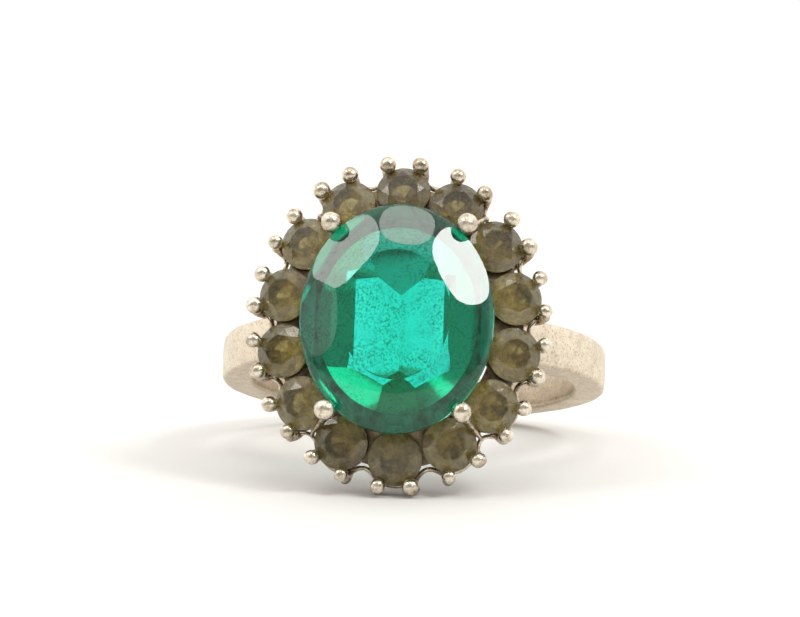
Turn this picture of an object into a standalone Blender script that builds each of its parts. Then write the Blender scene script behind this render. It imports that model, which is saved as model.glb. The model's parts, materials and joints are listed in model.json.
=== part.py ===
"""Cocktail ring: a large oval stone in four claws, a halo of fourteen round stones, a plain shank.

Every piece is shaped in the ring's own frame, in millimetres, and turned into metres when it is
finished. In that frame the origin is the middle of the finger hole, X runs across the finger,
Z runs along the finger and the face of the ring looks along -Y. The whole ring is then leaned
back until it rests on its lowest halo beads and on the back of the shank, as it lies on a table.
"""
import math

import bmesh
import bpy
from mathutils import Matrix, Vector

MM = 0.001

# Shank: a band of rounded rectangular section, wider at the head than at the back.
HOLE_RADIUS = 8.62
SHANK_OUTER_RADIUS = 10.25
SHANK_MEAN_WIDTH = 2.18
SHANK_WIDTH_GROWTH = 0.028
SHANK_EDGE_ROUNDING = 0.22
SHANK_OPENING_HALF = 4.1
SHANK_TOP_OUT = 8.67
SHANK_SEGMENTS = 96

# Lower gallery ring: an oval of round wire that lies on the two ends of the shank.
LOWER_HALF_ACROSS = 5.1
LOWER_HALF_ALONG = 6.0
LOWER_WIRE_RADIUS = 0.40
LOWER_OUT = 9.1

# Centre stone: oval brilliant cut.
CENTRE_HALF_ACROSS = 5.0
CENTRE_HALF_ALONG = 6.0
CENTRE_OUT = 12.98
CENTRE_GIRDLE = 0.24
CENTRE_TABLE_RATIO = 0.69
CENTRE_CROWN_ANGLE = math.radians(36.0)
CENTRE_PAVILION_ANGLE = math.radians(39.5)
CENTRE_GIRDLE_SIDES = 64

# Halo stones: round brilliants leaning outwards on an oval.
HALO_COUNT = 14
HALO_HALF_ACROSS = 6.10
HALO_HALF_ALONG = 7.02
HALO_OUT = 11.365
HALO_SLOPE = math.tan(math.radians(18.0))
HALO_RADIUS = 1.40
HALO_GIRDLE = 0.08
HALO_TABLE_RATIO = 0.60
HALO_CROWN_ANGLE = math.radians(34.0)
HALO_PAVILION_ANGLE = math.radians(40.5)
HALO_GIRDLE_SIDES = 32

# Gallery rail: fourteen round collets, one under each halo stone, joined by an oval band.
RAIL_INNER_ACROSS = 4.95
RAIL_OUTER_ACROSS = 6.40
RAIL_TOP_DROP = 0.35
RAIL_THICKNESS = 0.45
RAIL_SEGMENTS = 84
COLLET_RADIUS = 1.38
COLLET_TOP_DROP = 0.20
COLLET_BOTTOM_DROP = 0.80
COLLET_SIDES = 32
SEAT_CLEARANCE = 0.03

# Seat of the centre stone: an upright oval collar under its pavilion.
COLLAR_INNER_ACROSS = 3.82
COLLAR_INNER_ALONG = 4.60
COLLAR_WALL = 0.62
COLLAR_TOP_OUT = 11.75
COLLAR_BOTTOM_OUT = 10.20
COLLAR_SEGMENTS = 64

# Claws: round wire with a bead worked up at its upper end.
HALO_BEAD_RADIUS = 0.38
HALO_WIRE_RADIUS = 0.33
HALO_CLAW_SPREAD = math.radians(32.0)
HALO_CLAW_STRAIGHT = 0.98
HALO_BEAD_OUTSIDE = 0.21
HALO_BEAD_ABOVE = 0.40
CENTRE_BEAD_RADIUS = 0.52
CENTRE_BEAD_INSIDE = 0.64
CENTRE_BEAD_ABOVE = 0.50
CLAW_GAP = 0.03

METAL_COLOUR = (0.74, 0.69, 0.60, 1.0)
CENTRE_COLOUR = (0.01, 0.34, 0.22, 1.0)
HALO_COLOUR = (0.42, 0.38, 0.29, 1.0)


def ring_point(across, along, out):
    """A point of the ring frame from its distances across and along the finger and out of the face."""
    return Vector((across, -out, along))


def clear_scene():
    for item in list(bpy.data.objects):
        bpy.data.objects.remove(item, do_unlink=True)


def new_collection(name):
    collection = bpy.data.collections.new(name)
    bpy.context.scene.collection.children.link(collection)
    return collection


def principled(name, colour, roughness, metallic, transmission=0.0):
    """A plain Principled material."""
    material = bpy.data.materials.new(name)
    material.use_nodes = True
    shader = material.node_tree.nodes["Principled BSDF"]
    shader.inputs["Base Color"].default_value = colour
    shader.inputs["Roughness"].default_value = roughness
    shader.inputs["Metallic"].default_value = metallic
    shader.inputs["Transmission Weight"].default_value = transmission
    material.diffuse_color = colour
    return material


def add_piece(name, mesh, material, collection, parent, smooth):
    """Turns a mesh in millimetres into a named piece in metres, carried by the leaning ring."""
    mesh.name = name
    mesh.transform(Matrix.Scale(MM, 4))
    mesh.materials.clear()
    mesh.materials.append(material)
    if smooth:
        mesh.shade_smooth()
        mesh.set_sharp_from_angle(angle=math.radians(35.0))
    else:
        mesh.shade_flat()
    piece = bpy.data.objects.new(name, mesh)
    collection.objects.link(piece)
    piece.parent = parent
    return piece


def mesh_from(bm):
    """Gives the finished mesh of a bmesh, with its faces turned outwards."""
    bmesh.ops.recalc_face_normals(bm, faces=bm.faces)
    mesh = bpy.data.meshes.new("shape")
    bm.to_mesh(mesh)
    bm.free()
    return mesh


def evaluated(piece):
    """Applies the modifiers or the curve bevel of a working object and removes the object."""
    graph = bpy.context.evaluated_depsgraph_get()
    mesh = bpy.data.meshes.new_from_object(piece.evaluated_get(graph))
    bpy.data.objects.remove(piece, do_unlink=True)
    bm = bmesh.new()
    bm.from_mesh(mesh)
    bmesh.ops.remove_doubles(bm, verts=bm.verts, dist=0.0001)
    return mesh_from(bm)


def working_object(mesh_or_curve, collection):
    piece = bpy.data.objects.new("working", mesh_or_curve)
    collection.objects.link(piece)
    return piece


def wire(points, radii, sides_level, closed, collection):
    """Round wire through the points, with its own radius at each of them."""
    curve = bpy.data.curves.new("wire", "CURVE")
    curve.dimensions = "3D"
    curve.bevel_depth = 1.0
    curve.bevel_resolution = sides_level
    curve.use_fill_caps = not closed
    spline = curve.splines.new("POLY")
    spline.points.add(len(points) - 1)
    spline.use_cyclic_u = closed
    for target, point, radius in zip(spline.points, points, radii):
        target.co = (point.x, point.y, point.z, 1.0)
        target.radius = radius
    return evaluated(working_object(curve, collection))


def turned(profile, segments, half_across, half_along, collection):
    """Turns a closed profile of (distance, out) pairs about the face axis and makes it oval.

    The distances are those across the finger; along it they grow in the ratio of the half axes.
    """
    bm = bmesh.new()
    corners = [bm.verts.new(ring_point(distance, 0.0, out)) for distance, out in profile]
    for first, second in zip(corners, corners[1:] + corners[:1]):
        bm.edges.new((first, second))
    mesh = bpy.data.meshes.new("profile")
    bm.to_mesh(mesh)
    bm.free()
    piece = working_object(mesh, collection)
    screw = piece.modifiers.new("turn", "SCREW")
    screw.axis = "Y"
    screw.steps = segments
    screw.render_steps = segments
    screw.use_merge_vertices = True
    screw.merge_threshold = 0.0001
    result = evaluated(piece)
    result.transform(Matrix.Diagonal((1.0, 1.0, half_along / half_across, 1.0)))
    return result


def combine(mesh, others, operation, parts_collection, cutter_collection):
    """Adds the other meshes to a mesh or cuts them out of it."""
    body = working_object(mesh, parts_collection)
    tools = []
    for number, other in enumerate(others):
        tool = bpy.data.objects.new(f"cutter_{number}", other)
        cutter_collection.objects.link(tool)
        tool.hide_render = True
        tool.display_type = "WIRE"
        step = body.modifiers.new(f"step_{number}", "BOOLEAN")
        step.operation = operation
        step.object = tool
        tools.append(tool)
    result = evaluated(body)
    for tool in tools:
        bpy.data.objects.remove(tool, do_unlink=True)
    return result


def block(low, high):
    """A box between two corners given as (across, along, out)."""
    first = ring_point(*low)
    second = ring_point(*high)
    size = [abs(second[axis] - first[axis]) for axis in range(3)]
    bm = bmesh.new()
    bmesh.ops.create_cube(bm, size=1.0)
    bmesh.ops.scale(bm, vec=size, verts=bm.verts)
    bmesh.ops.translate(bm, vec=(first + second) / 2.0, verts=bm.verts)
    return mesh_from(bm)


def cut_facet(bm, normal, distance):
    """Grinds a stone down to the plane that lies at a distance from the origin along a normal."""
    everything = bm.verts[:] + bm.edges[:] + bm.faces[:]
    cut = bmesh.ops.bisect_plane(
        bm,
        geom=everything,
        dist=0.00001,
        plane_co=normal * distance,
        plane_no=normal,
        clear_outer=True,
    )
    rim = [item for item in cut["geom_cut"] if isinstance(item, bmesh.types.BMEdge)]
    open_rim = [edge for edge in rim if len(edge.link_faces) == 1]
    if len(open_rim) > 2:
        bmesh.ops.edgeloop_fill(bm, edges=open_rim)


def facet_ring(bm, count, turn, steepness, side, radius, height):
    """Cuts a ring of equal facets; each passes through the point at a radius and a height."""
    for number in range(count):
        angle = turn + 2.0 * math.pi * number / count
        flat = Vector((math.cos(angle), math.sin(angle), 0.0))
        normal = flat * math.sin(steepness) + Vector((0.0, 0.0, side * math.cos(steepness)))
        through = flat * radius + Vector((0.0, 0.0, height))
        cut_facet(bm, normal, normal.dot(through))


def brilliant(half_across, half_along, girdle, table_ratio, crown_angle, pavilion_angle, sides):
    """A brilliant-cut stone with its table towards +Z and the middle of its girdle at the origin."""
    radius = half_across
    crown = radius * (1.0 - table_ratio) * math.tan(crown_angle)
    pavilion = radius * math.tan(pavilion_angle)
    eighth = math.pi / 4.0
    bm = bmesh.new()
    bmesh.ops.create_cone(
        bm,
        cap_ends=True,
        segments=sides,
        radius1=radius,
        radius2=radius,
        depth=2.0 * (pavilion + crown),
    )
    top = girdle / 2.0
    table_radius = table_ratio * radius
    cut_facet(bm, Vector((0.0, 0.0, 1.0)), top + crown)
    facet_ring(bm, 8, 0.0, crown_angle, 1.0, radius, top)
    facet_ring(bm, 8, eighth / 2.0, crown_angle * 0.64, 1.0, table_radius * math.cos(eighth / 2.0), top + crown)
    facet_ring(bm, 16, eighth / 4.0, crown_angle * 1.17, 1.0, radius, top)
    facet_ring(bm, 8, 0.0, pavilion_angle, -1.0, radius, -top)
    facet_ring(bm, 16, eighth / 4.0, pavilion_angle * 1.035, -1.0, radius, -top)
    bmesh.ops.scale(bm, vec=(1.0, half_along / half_across, 1.0), verts=bm.verts)
    bmesh.ops.remove_doubles(bm, verts=bm.verts, dist=0.0005)
    return mesh_from(bm)


def ellipse_turns(half_across, half_along, count, first=0.0):
    """Parameter angles of points spaced evenly along an oval, clockwise from its top."""
    fine = 2880
    step = 2.0 * math.pi / fine
    lengths = [0.0]
    for number in range(fine):
        middle = math.pi / 2.0 - (number + 0.5) * step
        lengths.append(lengths[-1] + step * math.hypot(half_across * math.sin(middle), half_along * math.cos(middle)))
    turns = []
    for place in range(count):
        wanted = lengths[-1] * ((place + first) / count)
        index = max(number for number in range(fine + 1) if lengths[number] <= wanted)
        turns.append(math.pi / 2.0 - index * step)
    return turns


def oval_point(half_across, half_along, angle, outside, out):
    """A point outside an oval, measured square to it, at a parameter angle."""
    normal = Vector((math.cos(angle) / half_across, math.sin(angle) / half_along)).normalized()
    across = half_across * math.cos(angle) + normal.x * outside
    along = half_along * math.sin(angle) + normal.y * outside
    return ring_point(across, along, out)


def halo_frame(angle):
    """Where a halo stone sits: its middle and its outward, sideways and table directions."""
    gradient = Vector((math.cos(angle) / HALO_HALF_ACROSS, math.sin(angle) / HALO_HALF_ALONG))
    lean = math.atan(HALO_SLOPE * HALO_HALF_ACROSS * gradient.length)
    flat = gradient.normalized()
    middle = oval_point(HALO_HALF_ACROSS, HALO_HALF_ALONG, angle, 0.0, HALO_OUT)
    outward = ring_point(flat.x * math.cos(lean), flat.y * math.cos(lean), -math.sin(lean))
    table = ring_point(flat.x * math.sin(lean), flat.y * math.sin(lean), math.cos(lean))
    sideways = table.cross(outward)
    return middle, outward, sideways, table


def bead_section(bead_radius, height):
    """The radius of a round bead at a height above its middle."""
    return math.sqrt(max(bead_radius * bead_radius - height * height, 0.0))


def halo_claw(angle, side, collection):
    """One claw of a halo stone, from its bead down to the outside of the lower ring."""
    middle, outward, sideways, table = halo_frame(angle)
    radial = outward * math.cos(HALO_CLAW_SPREAD) + sideways * (side * math.sin(HALO_CLAW_SPREAD))
    bead = middle + radial * (HALO_RADIUS + HALO_BEAD_OUTSIDE) + table * HALO_BEAD_ABOVE
    neck = middle + radial * (HALO_RADIUS + HALO_WIRE_RADIUS + 3.0 * CLAW_GAP)
    heights = [0.36, 0.27, 0.12, -0.05]
    points = [bead + table * height for height in heights]
    radii = [bead_section(HALO_BEAD_RADIUS, height) for height in heights]
    points += [neck, neck - table * HALO_CLAW_STRAIGHT]
    radii += [HALO_WIRE_RADIUS, HALO_WIRE_RADIUS]
    turn = math.atan2(neck.z / HALO_HALF_ALONG, neck.x / HALO_HALF_ACROSS)
    beside = LOWER_WIRE_RADIUS + HALO_WIRE_RADIUS + CLAW_GAP
    for out in (LOWER_OUT + 0.45, LOWER_OUT - 0.08):
        points.append(oval_point(LOWER_HALF_ACROSS, LOWER_HALF_ALONG, turn, beside, out))
        radii.append(HALO_WIRE_RADIUS)
    return wire(points, radii, 2, False, collection)


def centre_claw_path(angle):
    """The middle line and radii of one claw of the centre stone.

    It runs outwards and down in the groove between two halo stones, thinning as it goes, and ends
    beside the rail. Distances are measured outwards from the oval the halo stones are set on.
    """
    bead_out = CENTRE_OUT + CENTRE_BEAD_ABOVE
    stations = []
    for height in (0.49, 0.38, 0.20, 0.0, -0.20, -0.36):
        stations.append((-CENTRE_BEAD_INSIDE, bead_out + height, bead_section(CENTRE_BEAD_RADIUS, height)))
    stations += [
        (-0.60, CENTRE_OUT, 0.33),
        (-0.42, CENTRE_OUT - 0.53, 0.28),
        (-0.20, CENTRE_OUT - 0.93, 0.20),
        (0.06, HALO_OUT + 0.38, 0.14),
        (0.36, HALO_OUT + 0.07, 0.12),
        (0.52, HALO_OUT - 0.20, 0.12),
        (0.60, HALO_OUT - 0.60, 0.12),
    ]
    points = [oval_point(HALO_HALF_ACROSS, HALO_HALF_ALONG, angle, outside, out) for outside, out, _ in stations]
    radii = [radius for _, _, radius in stations]
    return points, radii


def build_shank(parts, cutters):
    """The open band: turned, rounded, opened under the head and tapered in width."""
    bm = bmesh.new()
    mesh = bpy.data.meshes.new("section")
    half = SHANK_MEAN_WIDTH / 2.0
    section = [(HOLE_RADIUS, -half), (SHANK_OUTER_RADIUS, -half), (SHANK_OUTER_RADIUS, half), (HOLE_RADIUS, half)]
    corners = [bm.verts.new(Vector((distance, 0.0, along))) for distance, along in section]
    for first, second in zip(corners, corners[1:] + corners[:1]):
        bm.edges.new((first, second))
    bm.to_mesh(mesh)
    bm.free()
    band = working_object(mesh, parts)
    screw = band.modifiers.new("turn", "SCREW")
    screw.axis = "Z"
    screw.steps = SHANK_SEGMENTS
    screw.render_steps = SHANK_SEGMENTS
    screw.use_merge_vertices = True
    screw.merge_threshold = 0.0001
    rounding = band.modifiers.new("rounding", "BEVEL")
    rounding.width = SHANK_EDGE_ROUNDING
    rounding.segments = 3
    rounding.limit_method = "ANGLE"
    rounding.angle_limit = math.radians(40.0)
    opening = block((-SHANK_OPENING_HALF, -3.0, 5.0), (SHANK_OPENING_HALF, 3.0, 13.0))
    flats = block((-9.0, -3.0, SHANK_TOP_OUT), (9.0, 3.0, 13.0))
    cut = combine(evaluated(band), [opening, flats], "DIFFERENCE", parts, cutters)
    for vertex in cut.vertices:
        vertex.co.z *= (SHANK_MEAN_WIDTH - SHANK_WIDTH_GROWTH * vertex.co.y) / SHANK_MEAN_WIDTH
    return cut


def cone_in(frame, bottom_radius, top_radius, bottom, top, sides):
    """A cone or cylinder that stands along a halo stone's table direction."""
    middle, outward, sideways, table = frame
    bm = bmesh.new()
    bmesh.ops.create_cone(
        bm,
        cap_ends=True,
        segments=sides,
        radius1=bottom_radius,
        radius2=top_radius,
        depth=top - bottom,
    )
    bmesh.ops.translate(bm, vec=(0.0, 0.0, (top + bottom) / 2.0), verts=bm.verts)
    basis = Matrix((outward, sideways, table)).transposed().to_4x4()
    bmesh.ops.transform(bm, matrix=Matrix.Translation(middle) @ basis, verts=bm.verts)
    return mesh_from(bm)


def build_rail(turns, parts, cutters):
    """The oval band with a collet added and a conical seat sunk for each halo stone."""
    lean = math.atan(HALO_SLOPE)
    middle_top = HALO_OUT - RAIL_TOP_DROP / math.cos(lean)
    depth = RAIL_THICKNESS / math.cos(lean)
    profile = []
    for distance, drop in (
        (RAIL_INNER_ACROSS, 0.0),
        (RAIL_OUTER_ACROSS, 0.0),
        (RAIL_OUTER_ACROSS, depth),
        (RAIL_INNER_ACROSS, depth),
    ):
        profile.append((distance, middle_top - HALO_SLOPE * (distance - HALO_HALF_ACROSS) - drop))
    band = turned(profile, RAIL_SEGMENTS, HALO_HALF_ACROSS, HALO_HALF_ALONG, parts)
    pavilion = HALO_RADIUS * math.tan(HALO_PAVILION_ANGLE)
    girdle_foot = -HALO_GIRDLE / 2.0
    collets = []
    seats = []
    for angle in turns:
        place = halo_frame(angle)
        collets.append(
            cone_in(place, COLLET_RADIUS, COLLET_RADIUS, -COLLET_BOTTOM_DROP, -COLLET_TOP_DROP, COLLET_SIDES)
        )
        wide = HALO_RADIUS + 2.0 * SEAT_CLEARANCE
        seats.append(cone_in(place, 0.08, wide, girdle_foot - pavilion, girdle_foot, COLLET_SIDES))
    joined = combine(band, collets, "UNION", parts, cutters)
    return combine(joined, seats, "DIFFERENCE", parts, cutters)


def centre_claw_turns():
    """The four grooves that the centre claws run through, each between two halo stones."""
    first = ellipse_turns(HALO_HALF_ACROSS, HALO_HALF_ALONG, HALO_COUNT, 0.5)[1]
    return [math.pi - first, first, -first, math.pi + first]


def oval_wire_points(half_across, half_along, out, count):
    return [oval_point(half_across, half_along, 2.0 * math.pi * n / count, 0.0, out) for n in range(count)]


def lowest(pieces, lean):
    """The lowest height of some pieces when the ring leans back by an angle."""
    least = math.inf
    for piece in pieces:
        for vertex in piece.data.vertices:
            point = piece.matrix_basis @ vertex.co
            least = min(least, point.z * math.cos(lean) - point.y * math.sin(lean))
    return least


def settle_on_table(rig, pieces, shank):
    """Leans the ring until head and shank touch one level table, then centres it over the origin."""
    head = [piece for piece in pieces if piece is not shank]
    low = 0.0
    high = math.radians(45.0)
    for _ in range(40):
        lean = (low + high) / 2.0
        if lowest(head, lean) < lowest([shank], lean):
            low = lean
        else:
            high = lean
    rig.rotation_euler = (-lean, 0.0, 0.0)
    turn = Matrix.Rotation(-lean, 3, "X")
    points = [turn @ (piece.matrix_basis @ v.co) for piece in pieces for v in piece.data.vertices]
    floor = min(point.z for point in points)
    front = min(point.y for point in points)
    back = max(point.y for point in points)
    left = min(point.x for point in points)
    right = max(point.x for point in points)
    rig.location = (-(left + right) / 2.0, -(front + back) / 2.0, -floor)


def place_stone(piece, middle, outward, sideways, table):
    piece.location = middle * MM
    piece.rotation_euler = Matrix((outward, sideways, table)).transposed().to_euler()


def build():
    clear_scene()
    parts = new_collection("cocktail_ring")
    cutters = new_collection("cutters")
    rig = bpy.data.objects.new("ring", None)
    parts.objects.link(rig)
    metal = principled("ring_metal", METAL_COLOUR, 0.28, 1.0)
    green = principled("centre_glass", CENTRE_COLOUR, 0.05, 0.0, 0.6)
    grey = principled("halo_glass", HALO_COLOUR, 0.12, 0.0, 0.4)

    pieces = []
    shank = add_piece("shank", build_shank(parts, cutters), metal, parts, rig, True)
    pieces.append(shank)

    lower_points = oval_wire_points(LOWER_HALF_ACROSS, LOWER_HALF_ALONG, LOWER_OUT, 56)
    lower = wire(lower_points, [LOWER_WIRE_RADIUS] * 56, 4, True, parts)
    pieces.append(add_piece("lower_gallery_ring", lower, metal, parts, rig, True))

    turns = ellipse_turns(HALO_HALF_ACROSS, HALO_HALF_ALONG, HALO_COUNT)
    rail = build_rail(turns, parts, cutters)
    pieces.append(add_piece("gallery_rail", rail, metal, parts, rig, True))

    collar_profile = [
        (COLLAR_INNER_ACROSS, COLLAR_BOTTOM_OUT),
        (COLLAR_INNER_ACROSS, COLLAR_TOP_OUT),
        (COLLAR_INNER_ACROSS + COLLAR_WALL, COLLAR_TOP_OUT),
        (COLLAR_INNER_ACROSS + COLLAR_WALL, COLLAR_BOTTOM_OUT),
    ]
    collar = turned(collar_profile, COLLAR_SEGMENTS, COLLAR_INNER_ACROSS, COLLAR_INNER_ALONG, parts)
    pieces.append(add_piece("centre_seat", collar, metal, parts, rig, True))

    for number, angle in enumerate(centre_claw_turns(), start=1):
        points, radii = centre_claw_path(angle)
        claw = wire(points, radii, 3, False, parts)
        pieces.append(add_piece(f"centre_claw_{number}", claw, metal, parts, rig, True))

    claw_number = 0
    for number, angle in enumerate(turns, start=1):
        for side in (1.0, -1.0):
            claw_number += 1
            claw = halo_claw(angle, side, parts)
            pieces.append(add_piece(f"halo_claw_{claw_number:02d}", claw, metal, parts, rig, True))
        stone = brilliant(
            HALO_RADIUS,
            HALO_RADIUS,
            HALO_GIRDLE,
            HALO_TABLE_RATIO,
            HALO_CROWN_ANGLE,
            HALO_PAVILION_ANGLE,
            HALO_GIRDLE_SIDES,
        )
        piece = add_piece(f"accent_stone_{number:02d}", stone, grey, parts, rig, False)
        place_stone(piece, *halo_frame(angle))
        pieces.append(piece)

    centre = brilliant(
        CENTRE_HALF_ACROSS,
        CENTRE_HALF_ALONG,
        CENTRE_GIRDLE,
        CENTRE_TABLE_RATIO,
        CENTRE_CROWN_ANGLE,
        CENTRE_PAVILION_ANGLE,
        CENTRE_GIRDLE_SIDES,
    )
    piece = add_piece("centre_stone", centre, green, parts, rig, False)
    directions = (ring_point(1.0, 0.0, 0.0), ring_point(0.0, 1.0, 0.0), ring_point(0.0, 0.0, 1.0))
    place_stone(piece, ring_point(0.0, 0.0, CENTRE_OUT), *directions)
    pieces.append(piece)

    settle_on_table(rig, pieces, shank)


build()
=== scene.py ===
"""Looks of the cocktail ring: worn silver, a faceted green stone and a halo of dulled small stones.

The ring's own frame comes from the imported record: its middle is the middle of the finger hole,
"across" is the world's X, "along" is the finger's direction and "out" is the way the face looks.
Lengths are in millimetres in that frame and become metres when a mesh is finished.
"""
import json
import math
import random

import bmesh
import bpy
from mathutils import Matrix, Vector, noise


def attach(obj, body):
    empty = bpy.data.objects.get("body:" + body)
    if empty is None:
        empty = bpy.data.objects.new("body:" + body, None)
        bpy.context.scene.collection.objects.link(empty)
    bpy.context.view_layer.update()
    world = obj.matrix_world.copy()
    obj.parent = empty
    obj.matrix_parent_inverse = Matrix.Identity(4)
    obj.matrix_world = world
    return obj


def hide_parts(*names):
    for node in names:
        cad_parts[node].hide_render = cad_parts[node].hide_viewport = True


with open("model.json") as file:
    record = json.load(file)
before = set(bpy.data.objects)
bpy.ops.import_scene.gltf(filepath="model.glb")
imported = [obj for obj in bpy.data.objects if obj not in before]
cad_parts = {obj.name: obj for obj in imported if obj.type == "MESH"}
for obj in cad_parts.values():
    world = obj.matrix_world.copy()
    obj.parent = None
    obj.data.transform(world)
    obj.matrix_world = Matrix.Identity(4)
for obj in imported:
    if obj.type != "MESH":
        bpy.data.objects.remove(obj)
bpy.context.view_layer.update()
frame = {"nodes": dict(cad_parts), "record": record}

MM = 0.001

# Camera, measured from the ring's face.
CAMERA_DISTANCE = 258.8
CAMERA_LENS = 227.1
CAMERA_TURN = math.radians(4.4)
CAMERA_DROP = math.radians(11.5)
CAMERA_ROLL = math.radians(1.9)
CAMERA_AIM_ACROSS = 0.157
CAMERA_AIM_UP = 0.523
CAMERA_SENSOR = 36.0
CAMERA_CLIP = (0.01, 50.0)

# Shank.
SHANK_MEAN_WIDTH = 2.18
SHANK_WIDTH_GROWTH = 0.028
SHANK_INNER_RADIUS = 8.62
SHANK_OUTER_RADIUS = 10.25
SHANK_END_ANGLE = math.radians(61.0)
SHANK_TOP_OUT = 8.70
SHANK_STEPS = 260
SHANK_CORNER = 0.20
SHANK_SHOULDER = 0.75
SHANK_SHOULDER_FROM = 2.0
SHANK_SHOULDER_RISE = 5.0
SHANK_CORNER_STEPS = 4
SHANK_FLAT_STEPS = 8
SHANK_CROWN = 0.05
SHANK_HOLLOW = 0.03
SOLDER_FROM = 6.3
SOLDER_RISE = 2.3
SOLDER_LUMPS = 0.11

# Halo of small stones.
HALO_HALF_ACROSS = 6.10
HALO_HALF_ALONG = 7.02
HALO_OUT = 11.365
HALO_GIRDLE = 0.08
HALO_TABLE_RATIO = 0.58
HALO_CROWN_SLOPE = math.tan(math.radians(34.0))
HALO_PAVILION_SLOPE = math.tan(math.radians(40.5))
# Slopes of the smaller facets, as shares of the crown's and the pavilion's slope.
HALO_STAR_SHARE = 0.60
HALO_UPPER_SHARE = 1.22
HALO_LOWER_SHARE = 1.045
HALO_WEAR = 0.016
HALO_SHARP_ANGLE = 3.0

# Claws.
HALO_BEAD_RADIUS = 0.42
HALO_WIRE_RADIUS = 0.29
HALO_CLAW_SPREAD = math.radians(32.0)
HALO_CLAW_STRAIGHT = 0.98
HALO_CLAW_GAP = 0.06
# The most painted shade on the wire of a halo claw, towards its foot.
HALO_CLAW_SHADE = 0.9
HALO_BEAD_OUTSIDE = 0.21
HALO_BEAD_ABOVE = 0.40
CLAW_SIDES = 20
CLAW_STEPS = 6
CLAW_LUMPS = 0.05
BEAD_STEPS = 12
BAR_RADIUS = 0.13
BAR_SIDES = 10
BAR_STEPS = 5
BAR_SPANS = 6
BAR_LUMPS = 0.04
BAR_BELOW = 1.15
BAR_BEND = 0.75
# Painted shade laid evenly on the bars.
BAR_SHADE = 0.2
LIP_OUTSIDE = 0.10
LIP_BELOW = 0.95
CENTRE_BEAD_RADIUS = 0.57
CENTRE_BEAD_INSIDE = 0.64
CENTRE_BEAD_ABOVE = 0.50
# The most painted shade on the wire of a centre claw, towards its foot.
CENTRE_CLAW_SHADE = 0.45
# Each claw of the centre stone runs down between two halo stones, which are counted from 0.
CENTRE_CLAW_GROOVES = ((12, 13), (1, 2), (5, 6), (8, 9))
METAL_SHARP_ANGLE = 50.0

# Lower gallery ring, under the claws.
LOWER_HALF_ACROSS = 5.1
LOWER_HALF_ALONG = 6.0
LOWER_WIRE_RADIUS = 0.40
LOWER_OUT = 9.1
LOWER_CLAW_GAP = 0.02
LOWER_STEPS = 160
LOWER_SIDES = 18
LOWER_LUMPS = 0.03

# Centre stone.
CENTRE_GIRDLE = 0.24
CENTRE_CROWN_TOP = 1.246
CENTRE_WEAR = 0.028
CENTRE_SHARP_ANGLE = 4.5
# The dome's outline from the girdle up, as shares of the reach and of the crown's height.
DOME_OUTLINE = [
    (1.0, 0.0),
    (0.988, 0.12),
    (0.955, 0.28),
    (0.89, 0.46),
    (0.82, 0.62),
    (0.74, 0.78),
    (0.65, 0.92),
    (0.566, 1.0),
]
DOME_STEPS = 4
DOME_SIDES = 168
# Crown facets: the direction each faces, its angle, and how far outside the girdle it is set.
CROWN_FACETS = [
    (34.0, 27.0, 0.0),
    (84.0, 26.0, 0.24),
    (134.0, 26.0, 0.0),
    (181.0, 27.0, 0.08),
    (229.0, 30.0, 0.30),
    (310.0, 30.0, 0.30),
]
CROWN_FACET_ABOVE = 0.02
KEEL_HALF_LENGTH = 1.7
KEEL_LOWER_LENGTH = 2.25
KEEL_DEPTH = 4.28
KEEL_SLOPE = 0.613
END_SLOPE = 0.851
OUTER_SIDE_SLOPE = 1.0
OUTER_SIDE_BELOW = 0.05
OUTER_END_SLOPE = 1.3
OUTER_END_BELOW = 0.02
LOWER_DIAGONAL_SLOPE = 1.157
UPPER_DIAGONAL_SLOPE = 0.90
DIAGONAL_TURN = math.radians(37.0)
DIAGONAL_ACROSS = 1.18
DIAGONAL_BEYOND_KEEL = 0.85
RIM_FACETS = 16
RIM_FACET_SLOPE = 1.42
RIM_FACET_BELOW = 0.01
# How much of the centre stone's facets a diffuse green coat takes instead of clear glass: painted
# light and shade in place of what these facets show inside the stone.
UPPER_END_LIGHT_AND_SHADE = 0.50
LOWER_END_LIGHT_AND_SHADE = 0.85
OUTER_SIDE_LIGHT_AND_SHADE = 0.35
# How much the keel's flat is darkened.
KEEL_DARKENING = 0.6
# A face counts as part of the underside below the first value, and as flat past the second.
UNDERSIDE_LEVEL = -0.2
FLAT_LEVEL = 0.97
# Edges between facets that meet at a bigger angle than this are worn.
WEAR_MIN_ANGLE = math.radians(9.0)

# Studio, in metres.
FLOOR_HALF_SIZE = 3.0
SOFTBOX_DISTANCE = 1.5
TENT_TOWARDS = (0.0, 0.85, 0.55)
TENT_SHIFT = 0.25
TENT_FULL_AT = 0.45
TENT_NEAR = (0.33, 0.31, 0.29)
TENT_FAR = (1.0, 0.985, 0.96)
TENT_STRENGTH = 1.30
WARM_WHITE = (1.0, 0.98, 0.95)

mounts = {mount["name"]: mount for mount in frame["record"]["mounts"]}
HOLE_CENTRE = Vector(mounts["finger_hole"]["pos_m"])
ALONG = Vector(mounts["finger_hole"]["axis"]).normalized()
ACROSS = Vector((1.0, 0.0, 0.0))
OUT = ACROSS.cross(ALONG)
TO_WORLD = Matrix.Translation(HOLE_CENTRE) @ Matrix((ACROSS, ALONG, OUT)).transposed().to_4x4()
TO_WORLD = TO_WORLD @ Matrix.Scale(MM, 4)
TO_RING = TO_WORLD.inverted()


# ---------------------------------------------------------------------------------------------
# Shader building
# ---------------------------------------------------------------------------------------------


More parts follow.
